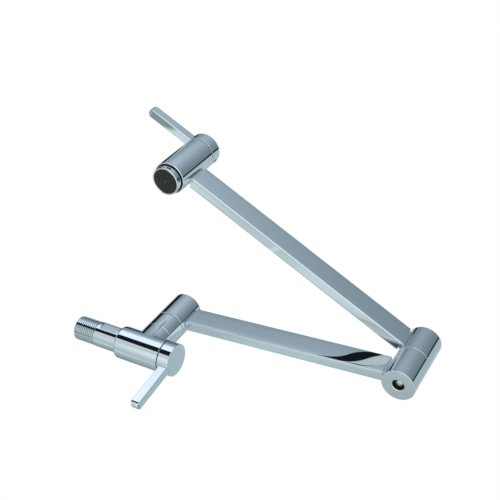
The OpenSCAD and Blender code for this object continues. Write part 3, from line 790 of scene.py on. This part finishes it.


# Spout head and aerator, heights counted from the spout's rim. The aerator's ring is inside the
# spout above the height where its painted shade begins

RIM_R = 12.8
RIM_DEPTH = 3.0
RIM_CHAMFER = 0.6
SPOUT_SEAT_DROP = 8.0
AERATOR_THREAD_R = 11.1
AERATOR_DEPTH = 8.5
AERATOR_R = 12.0
AERATOR_DROP = 6.1
AERATOR_SEAL = 1.2
SHADE_LINE = -1.4
LIP_BEVEL = 0.4
FACE_R = 10.8
FACE_RECESS = 0.5
FACE_STEP = 4.5
FACE_EDGE = 0.12
INSERT_R = 10.0
GROOVES = 5
GROOVE_DEPTH = 1.4
WEBS = 12
WEB_HALF = 0.12
WEB_FLOOR = 0.7
WEB_TOP = 1.6
WEB_END = GROOVES + 0.6
NOTCHES = 6
NOTCH_TURN = 16
NOTCH_W = 4.0
NOTCH_H = 1.6
NOTCH_DROP = 2.4
NOTCH_DEPTH = 0.6

spout_low, spout_high = heights("spout_head")
spout_place = frame_at(spout_axis, outer_angle, spout_low)


def around_z(piece, number, count, start=0):
    """The piece, turned about Z to its place in a ring of so many."""
    return moved(piece, Matrix.Rotation(start + math.tau * number / count, 4, "Z"))


def make_spout_head():
    length = spout_high - spout_low
    arm_height = outer_arm_height - spout_low
    seat = arm_height - SPOUT_SEAT_DROP
    thread_r = AERATOR_THREAD_R + SEAT_GAP
    head = turned("spout_tube", [
        (WATERWAY_R, AERATOR_DEPTH), (thread_r, AERATOR_DEPTH), (thread_r, RIM_DEPTH),
        (RIM_R, RIM_DEPTH), (RIM_R, 0),
        *arc(SWIVEL_R - RIM_CHAMFER, RIM_CHAMFER, RIM_CHAMFER, -90, 0, steps=6),
        (SWIVEL_R, length), (MOUTH_R, length), (MOUTH_R, length - MOUTH_DEPTH),
        (CHAMBER_R, length - MOUTH_DEPTH), (CHAMBER_R, seat), (WATERWAY_R, seat),
        (WATERWAY_R, AERATOR_DEPTH),
    ], through=True)
    round_edges(head, FINE_EDGE)
    cut(head, *neck_pocket(arm_height, 180, CHAMBER_R))
    # Painted shade on the face under the cap and on the bores inside the rim
    paint_recess_shade(head, lambda face: face.center.z > length - NEAR
                   or (face.center.xy.length < RIM_R + 2 * NEAR
                       and CLEAR < face.center.z < arm_height))
    polish(place(head, spout_place))
    hand_over(head, "spout_head")


def make_aerator_ring():
    """Ring that screws into the spout, with notches for its key."""
    top = AERATOR_DEPTH - AERATOR_SEAL
    bore_r = INSERT_R + SEAT_GAP
    ring = turned("aerator_ring", [
        (bore_r, top), (bore_r, FACE_STEP - AERATOR_DROP), (FACE_R, FACE_STEP - AERATOR_DROP),
        (FACE_R, LIP_BEVEL - AERATOR_DROP), (FACE_R + LIP_BEVEL, -AERATOR_DROP),
        (AERATOR_R - LIP_BEVEL, -AERATOR_DROP), (AERATOR_R, LIP_BEVEL - AERATOR_DROP),
        (AERATOR_R, SHADE_LINE), (AERATOR_R, RIM_DEPTH), (AERATOR_THREAD_R, RIM_DEPTH),
        (AERATOR_THREAD_R, top), (bore_r, top),
    ], through=True)
    round_edges(ring, FINE_EDGE, angle=30)
    notch_floor = -NOTCH_DROP - NOTCH_H
    for number in range(NOTCHES):
        key = block("key", (AERATOR_R - NOTCH_DEPTH, -NOTCH_W / 2, notch_floor),
                    (AERATOR_R + OVER, NOTCH_W / 2, -NOTCH_DROP))
        cut(ring, around_z(key, number, NOTCHES, start=math.radians(NOTCH_TURN)))
    # Painted shade on the ring inside the spout and in the key notches
    paint_recess_shade(ring, lambda face: face.center.z > SHADE_LINE + CLEAR
                   or (notch_floor < face.center.z < -NOTCH_DROP
                       and face.center.xy.length < AERATOR_R - 2 * CLEAR))
    polish(place(ring, spout_place))
    hand_over(ring, "aerator_housing")


def make_aerator_insert():
    """Black insert: fine rings on a stepped face, crossed by thin webs."""
    face = FACE_RECESS - AERATOR_DROP
    groove_floor = face + GROOVE_DEPTH
    pitch = FACE_R / (GROOVES + 1)
    rings = []
    for number in range(1, GROOVES + 1):
        start, end = number * pitch, (number + 0.5) * pitch
        rings += [(start, face), (start, groove_floor), (end, groove_floor), (end, face)]
    rings += [(FACE_R - SEAT_GAP, face), (FACE_R - SEAT_GAP, FACE_STEP - AERATOR_DROP),
              (INSERT_R, FACE_STEP - AERATOR_DROP), (INSERT_R, AERATOR_DEPTH - AERATOR_SEAL)]
    insert = turned("aerator_face", rings)
    round_edges(insert, FACE_EDGE, segments=2, angle=60)
    webs = []
    for number in range(WEBS):
        web = block("web", (pitch, -WEB_HALF, face + WEB_FLOOR),
                    (WEB_END * pitch, WEB_HALF, face + WEB_TOP))
        webs.append(around_z(web, number, WEBS))
    combine(insert, "UNION", *webs)
    polish(place(insert, spout_place), angle=40)
    hand_over(insert, "aerator_insert", "black_plastic")


make_spout_head()
make_aerator_ring()
make_aerator_insert()


# Handles: cap and bar lever, counted from the cap's open side, lever along X. CAP_SPARE opens the
# seam under the cap, LEVER_SPARE comes off both sides of the lever, TIP_SPARE is how far its
# outline stands past its tip, and TIP_FLAT is what the tip's two rounded edges leave between them

CAP_LEN = 10.8
CAP_RECESS = 2.2
CAP_WALL = 2.6
CAP_SPARE = 0.35
CAP_BORE_R = 4.05
GRUB_R = 2.05
GRUB_START = 3.2
LEVER_W = 7.8
LEVER_T = 7.6
LEVER_REACH = 57.0
LEVER_SEAT = 1.8
LEVER_EDGE = 0.6
LEVER_SPARE = 0.03
TIP_R = 3.0
TIP_SPARE = 0.1
TIP_FLAT = 0.002
VALVE_TURN = 6


def round_tip(piece, tip, axis, radius, segments):
    """Rounds the two edges of the lever's tip that run along one axis."""

    def at_tip(edge):
        start, end = (piece.data.vertices[index].co for index in edge.vertices)
        along = abs(start[axis] - end[axis]) > CLEAR
        return along and all(abs(point.x - tip) < NEAR for point in (start, end))

    select_where(piece, "EDGE", at_tip)
    bpy.ops.mesh.bevel(offset=radius, segments=segments, affect="EDGES")
    bpy.ops.object.mode_set(mode="OBJECT")


def tip_outline(seat):
    """Block that holds the lever and rounds the two corners of its tip seen from the side."""
    tip = LEVER_REACH + TIP_SPARE
    outline = block("outline", (seat - OVER, -LEVER_T, CAP_LEN - LEVER_W + LEVER_SPARE),
                    (tip, LEVER_T, CAP_LEN - LEVER_SPARE))
    round_tip(outline, tip, axis=1, radius=TIP_R, segments=12)
    return outline


def make_cap(name, node, radius, seat, where):
    cap = turned(name, [
        (CAP_BORE_R, CAP_LEN - CAP_WALL), (CAP_BORE_R, CAP_RECESS), (MOUTH_R, CAP_RECESS),
        (MOUTH_R, CAP_SPARE), (radius, CAP_SPARE), (radius, CAP_LEN),
    ])
    round_edges(cap, RIM_EDGE)
    lever_slot = block("slot", (seat, -LEVER_T / 2, CAP_LEN - LEVER_W),
                       (radius + PAST, LEVER_T / 2, CAP_LEN + PAST))
    grub_height = (CAP_RECESS + CAP_LEN - CAP_WALL) / 2
    grub = moved(drill(GRUB_R, GRUB_START, radius + PAST, AROUND_SMALL),
                 Matrix.Translation((0, 0, grub_height)) @ AGAINST_X)
    cut(cap, lever_slot, grub)
    # Painted shade on the cap's underside, which lines the seam under the cap
    paint_recess_shade(cap, lambda face: face.center.z < CAP_SPARE + NEAR)
    polish(place(cap, where))
    hand_over(cap, node)


def make_lever(name, node, seat, where):
    """Bar whose tip is a half round from above: its two rounded edges merge in the middle."""
    lever = block(name, (seat, -LEVER_T / 2, CAP_LEN - LEVER_W),
                  (LEVER_REACH, LEVER_T / 2, CAP_LEN))
    round_tip(lever, LEVER_REACH, axis=2, radius=LEVER_T / 2 - TIP_FLAT, segments=16)
    editing(lever, "EDGE", "SELECT")
    bpy.ops.mesh.remove_doubles(threshold=NEAR)
    bpy.ops.object.mode_set(mode="OBJECT")
    combine(lever, "INTERSECT", tip_outline(seat))
    round_edges(lever, LEVER_EDGE, segments=4, angle=35)
    polish(place(lever, where), angle=30)
    hand_over(lever, node)


valve_place = Matrix.Translation((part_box("valve_cap")[0].x, 0, 0)) @ ALONG_X
valve_place = valve_place @ Matrix.Rotation(math.radians(VALVE_TURN), 4, "Z")
spout_cap_place = frame_at(spout_axis, outer_angle, heights("spout_cap")[0])

for part_of, outer_r, handle_place in (("valve", BODY_R, valve_place),
                                       ("spout", SWIVEL_R, spout_cap_place)):
    lever_seat = outer_r - LEVER_SEAT
    make_cap(part_of + "_knob", part_of + "_cap", outer_r, lever_seat, handle_place)
    make_lever(part_of + "_bar", part_of + "_lever", lever_seat, handle_place)


# Retaining screws: button head with a hex socket, head up

SCREW_R = 2.0
SCREW_REACH = 6.8
HEAD_R = 3.8
HEAD_H = 2.3
DOME_END = 84
HEX_R = 1.443
HEX_FLOOR = 0.8
SCREW_EDGE = 0.1


def make_screw(name, node, where):
    crown = (HEAD_R**2 + HEAD_H**2) / (2 * HEAD_H)
    tilt = math.degrees(math.asin(HEAD_R / crown))
    dome = arc(0, HEAD_H - crown, crown, 90 - tilt, DOME_END, steps=8)
    screw = turned(name, [(SCREW_R, -SCREW_REACH), (SCREW_R, 0), (HEAD_R, 0), *dome],
                   around=AROUND_SMALL)
    cut(screw, turned("socket", [(HEX_R, HEX_FLOOR), (HEX_R, HEAD_H + OVER)], around=6))
    round_edges(screw, SCREW_EDGE, segments=2, angle=50)
    screw.data.materials.append(plated)
    polish(place(screw, where), angle=30)
    hand_over(screw, node, "steel")


make_screw("elbow_retaining_screw", "elbow_screw",
           frame_at(elbow_axis, inner_angle, heights("elbow_washer")[0], UPSIDE_DOWN))
make_screw("wall_retaining_screw", "swivel_screw",
           frame_at(wall_axis, inner_angle, heights("swivel_washer")[1]))


# Tent of panels that only the metal sees. A tone above 1 is brighter than plain white

LEFT_X, RIGHT_X = -1.5, 1.7
FAR_Y, NEAR_Y, BACK_Y = -1.3, -0.6, 0.62
ROOF_Z, GROUND_Z = 0.6, -0.94
OPENING_TOP = -0.03
FRONT_FLOOR = -0.5
WHITE = (0.97, 1.11, 1.22)
BLACK = (0.008, 0.013, 0.017)

# Lit patch of the roof: its long direction, its reach along and across it, and how many of its
# reaches its middle lies back from the origin
PATCH_DIRECTION = (0.9447, 0.3278)
PATCH_REACH = (1.192, 0.556)
PATCH_SHIFT = (1.0097, 1.668)

# Dark seam across the roof, in its own half widths from its middle line: where the sheet in
# front of it ends, and where the sheet behind it begins
SEAM_SHIFT = 0.03
SEAM_FRONT, SEAM_BACK = (-1.7, -1.0), (1.0, 1.4)

# Two dark round spots, a hatch in the roof and a stand on the ground: the middle of each, and the
# radii between which it ends
HATCH_AT, HATCH_EDGE = (0.05, 0.45, ROOF_Z), (0.05, 0.07)
STAND_AT, STAND_EDGE = (-0.80, 0.36, GROUND_Z), (0.142, 0.158)


def roof_light(add, position):
    """Lit from the front left, with a dark seam across it and a paler sheet behind the seam."""
    x, y, _ = axes(add, position)
    east, north = PATCH_DIRECTION
    along, across = (
        maths(add, against(add, position, (way[0] / reach, way[1] / reach, 0), "DOT_PRODUCT"), by)
        for way, reach, by in zip(((east, north), (-north, east)), PATCH_REACH, PATCH_SHIFT)
    )
    level = maths(add, math.exp(-1), square_sum(add, along, across), "POWER")
    sheet = ramp_along(add, level, [(0, (0.142, 0.215, 0.238)), (1, (1.023, 1.172, 1.385))])
    width = ramp_along(add, x, [(-0.65, (0.2,) * 3), (-0.2, (0.055,) * 3), (0.4, (0.036,) * 3)])
    from_seam = maths(add, maths(add, y, SEAM_SHIFT), width, "DIVIDE")
    seam = spread(add, from_seam, *SEAM_FRONT, kind="SMOOTHSTEP")
    beyond = spread(add, from_seam, *SEAM_BACK, kind="SMOOTHSTEP")
    behind = ramp_along(add, x, [
        (-0.3, (0.40, 0.50, 0.56)), (0.1, (0.49, 0.60, 0.66)), (0.4, (0.49, 0.60, 0.66)),
        (0.65, (0.42, 0.53, 0.58)),
    ])
    off_hatch = spread(add, against(add, position, HATCH_AT, "DISTANCE"), *HATCH_EDGE)
    behind = blend(add, off_hatch, (0.07, 0.10, 0.13), behind)
    return blend(add, beyond, blend(add, seam, sheet, BLACK), behind)


def opening_light(add, position):
    """Low front: a dark opening over a pale sheet on the left, a white sheet on the right."""
    x, _, z = axes(add, position)
    tilted = maths(add, z, spread(add, x, -0.6, 0.0, to_low=-0.1, to_high=0.14))
    left = ramp_along(add, tilted, [
        (-0.94, (0.64, 0.75, 0.77)), (-0.85, (0.62, 0.73, 0.75)), (-0.72, (0.55, 0.65, 0.67)),
        (-0.62, (0.60, 0.70, 0.72)), (-0.54, (0.69, 0.78, 0.79)), (-0.40, (0.67, 0.75, 0.76)),
        (-0.375, BLACK), (0.2, BLACK),
    ])
    right = ramp_along(add, z, [
        (-0.94, (0.62, 0.74, 0.77)), (-0.6, (0.78, 0.90, 0.94)), (-0.48, (1.15, 1.30, 1.42)),
        (0.0, (1.15, 1.30, 1.42)),
    ])
    return blend(add, spread(add, x, 0.03, 0.09, kind="SMOOTHSTEP"), left, right)


def back_light(add, position):
    """Darkest at the tap's own height, paler below it, and uneven from side to side."""
    x, _, z = axes(add, position)
    rising = ramp_along(add, z, [
        (-0.94, (0.69, 0.82, 0.85)), (-0.76, (0.68, 0.80, 0.84)), (-0.68, (0.57, 0.69, 0.74)),
        (-0.62, (0.52, 0.65, 0.695)), (-0.38, (0.47, 0.595, 0.64)), (-0.26, (0.41, 0.52, 0.556)),
        (-0.14, (0.35, 0.44, 0.47)), (0.0, (0.28, 0.36, 0.39)), (0.3, (0.42, 0.54, 0.59)),
        (0.6, (0.44, 0.57, 0.62)),
    ])
    uneven = ramp_along(add, x, [
        (-0.45, (0.84, 0.84, 0.84)), (-0.33, (0.85, 0.85, 0.85)), (-0.25, (1, 1, 1)),
        (-0.14, (1, 1, 1)), (0.0, (0.83, 0.82, 0.79)), (0.15, (0.83, 0.82, 0.79)), (0.4, (1, 1, 1)),
    ])
    return blend(add, 1, rising, uneven, "MULTIPLY")


def ground_light(add, position):
    """Pale ground, lighter to the front right, with a dark stand far on the left."""
    x, y, _ = axes(add, position)
    towards = maths(add, x, spread(add, y, -0.35, BACK_Y, to_low=0.21, to_high=-0.372))
    pale = ramp_along(add, towards, [
        (-1.0, (0.74, 0.84, 0.86)), (-0.9, (0.62, 0.73, 0.76)), (-0.8, (0.50, 0.62, 0.66)),
        (-0.66, (0.49, 0.61, 0.66)), (-0.5, (0.59, 0.71, 0.755)),
        (-0.4, (0.68, 0.81, 0.85)), (-0.3, (0.79, 0.93, 0.96)), (-0.2, (0.86, 0.99, 1.02)),
    ])
    off_stand = spread(add, against(add, position, STAND_AT, "DISTANCE"), *STAND_EDGE)
    return blend(add, off_stand, (0.28, 0.35, 0.35), pale)


def front_light(add, position):
    """White sheet, a little weaker towards its lower edge."""
    return ramp_along(add, axes(add, position)[2], [
        (FRONT_FLOOR, (0.90, 1.04, 1.15)), (-0.1, WHITE), (ROOF_Z, WHITE),
    ])


def side_light(add, position):
    """Grey, darkest at the tap's own height."""
    return ramp_along(add, axes(add, position)[2], [
        (GROUND_Z, (0.50, 0.60, 0.64)), (0.0, (0.34, 0.42, 0.45)), (ROOF_Z, (0.42, 0.52, 0.57)),
    ])


def glow(name, build):
    """Panel finish whose colour comes from build(add, position)."""
    material = bpy.data.materials.new(name)
    material.use_nodes = True
    material.node_tree.nodes.clear()
    add = node_adder(material.node_tree)
    position = add("ShaderNodeTexCoord").outputs["Object"]
    light = add("ShaderNodeEmission", [(build(add, position), "Color")], Strength=1)
    add("ShaderNodeOutputMaterial", [(light.outputs["Emission"], "Surface")])
    return material


def tent_panel(name, low, high, facing, light):
    """One sheet of the tent between two corners of its rectangle, facing inwards."""
    middle, size = middle_and_size(low, high)
    clear()
    bpy.ops.mesh.primitive_plane_add(size=1, location=(0, 0, 0))
    panel = named(name)
    panel.scale = (*(side for side, part in zip(size, facing) if not part), 1)
    bpy.ops.object.transform_apply(location=False, rotation=False, scale=True)
    panel.rotation_mode = "QUATERNION"
    panel.rotation_quaternion = Vector(facing).to_track_quat("Z", "Y")
    panel.location = middle
    bpy.context.view_layer.update()
    bpy.ops.object.transform_apply(location=True, rotation=True, scale=True)
    panel.data.materials.append(glow(name + "_light", light))
    panel.visible_camera = False
    panel.visible_diffuse = False
    panel.visible_shadow = False
    panel.visible_transmission = False


for panel_name, low_corner, high_corner, inwards, panel_light in (
    ("tent_roof", (LEFT_X, FAR_Y, ROOF_Z), (RIGHT_X, BACK_Y, ROOF_Z), (0, 0, -1), roof_light),
    ("tent_front", (LEFT_X, FAR_Y, FRONT_FLOOR), (RIGHT_X, FAR_Y, ROOF_Z), (0, 1, 0), front_light),
    ("tent_opening", (LEFT_X, NEAR_Y, GROUND_Z), (RIGHT_X, NEAR_Y, OPENING_TOP), (0, 1, 0),
     opening_light),
    ("tent_back", (LEFT_X, BACK_Y, GROUND_Z), (RIGHT_X, BACK_Y, ROOF_Z), (0, -1, 0), back_light),
    ("tent_left", (LEFT_X, FAR_Y, GROUND_Z), (LEFT_X, BACK_Y, ROOF_Z), (1, 0, 0), side_light),
    ("tent_right", (RIGHT_X, FAR_Y, GROUND_Z), (RIGHT_X, BACK_Y, ROOF_Z), (-1, 0, 0), side_light),
    ("tent_ground", (LEFT_X, FAR_Y, GROUND_Z), (RIGHT_X, BACK_Y, GROUND_Z), (0, 0, 1),
     ground_light),
):
    tent_panel(panel_name, low_corner, high_corner, inwards, panel_light)


# Studio: pale floor, a sky that is seen plain white but lights a little less, two soft lamps

SKY_STRENGTH = 0.75
LAMPS_AIM = (0.1, 0, 0)

clear()
bpy.ops.mesh.primitive_plane_add(size=8, location=(0.1, 0, -0.95))
floor = named("floor")
floor_finish = bpy.data.materials.new("pale_floor")
floor_finish.use_nodes = True
floor_shader = floor_finish.node_tree.nodes["Principled BSDF"]
floor_shader.inputs["Base Color"].default_value = (0.93, 0.93, 0.93, 1)
floor_shader.inputs["Roughness"].default_value = 0.9
floor.data.materials.append(floor_finish)

world = bpy.data.worlds.new("studio")
bpy.context.scene.world = world
world.use_nodes = True
world.node_tree.nodes.clear()
add_sky = node_adder(world.node_tree)
rays = add_sky("ShaderNodeLightPath").outputs
seen = rays["Is Camera Ray"]
for ray in ("Is Glossy Ray", "Is Transmission Ray"):
    seen = maths(add_sky, seen, rays[ray], "MAXIMUM")
soft, shown = (
    add_sky("ShaderNodeBackground", Color=(1, 1, 1, 1), Strength=strength).outputs[0]
    for strength in (SKY_STRENGTH, 1)
)
choice = add_sky("ShaderNodeMixShader", [(seen, 0), (soft, 1), (shown, 2)])
add_sky("ShaderNodeOutputWorld", [(choice.outputs[0], "Surface")])


def soft_lamp(name, place_at, size, watts):
    data = bpy.data.lights.new(name, "AREA")
    data.size = size
    data.energy = watts
    lamp = bpy.data.objects.new(name, data)
    bpy.context.scene.collection.objects.link(lamp)
    lamp.location = place_at
    lamp.rotation_mode = "QUATERNION"
    lamp.rotation_quaternion = (Vector(LAMPS_AIM) - Vector(place_at)).to_track_quat("-Z", "Y")
    lamp.visible_glossy = False


soft_lamp("key_lamp", (-0.9, -1.4, 1.3), size=1.2, watts=18)
soft_lamp("fill_lamp", (1.3, -0.9, -0.2), size=1.0, watts=6)

bpy.context.scene.view_settings.view_transform = "Standard"
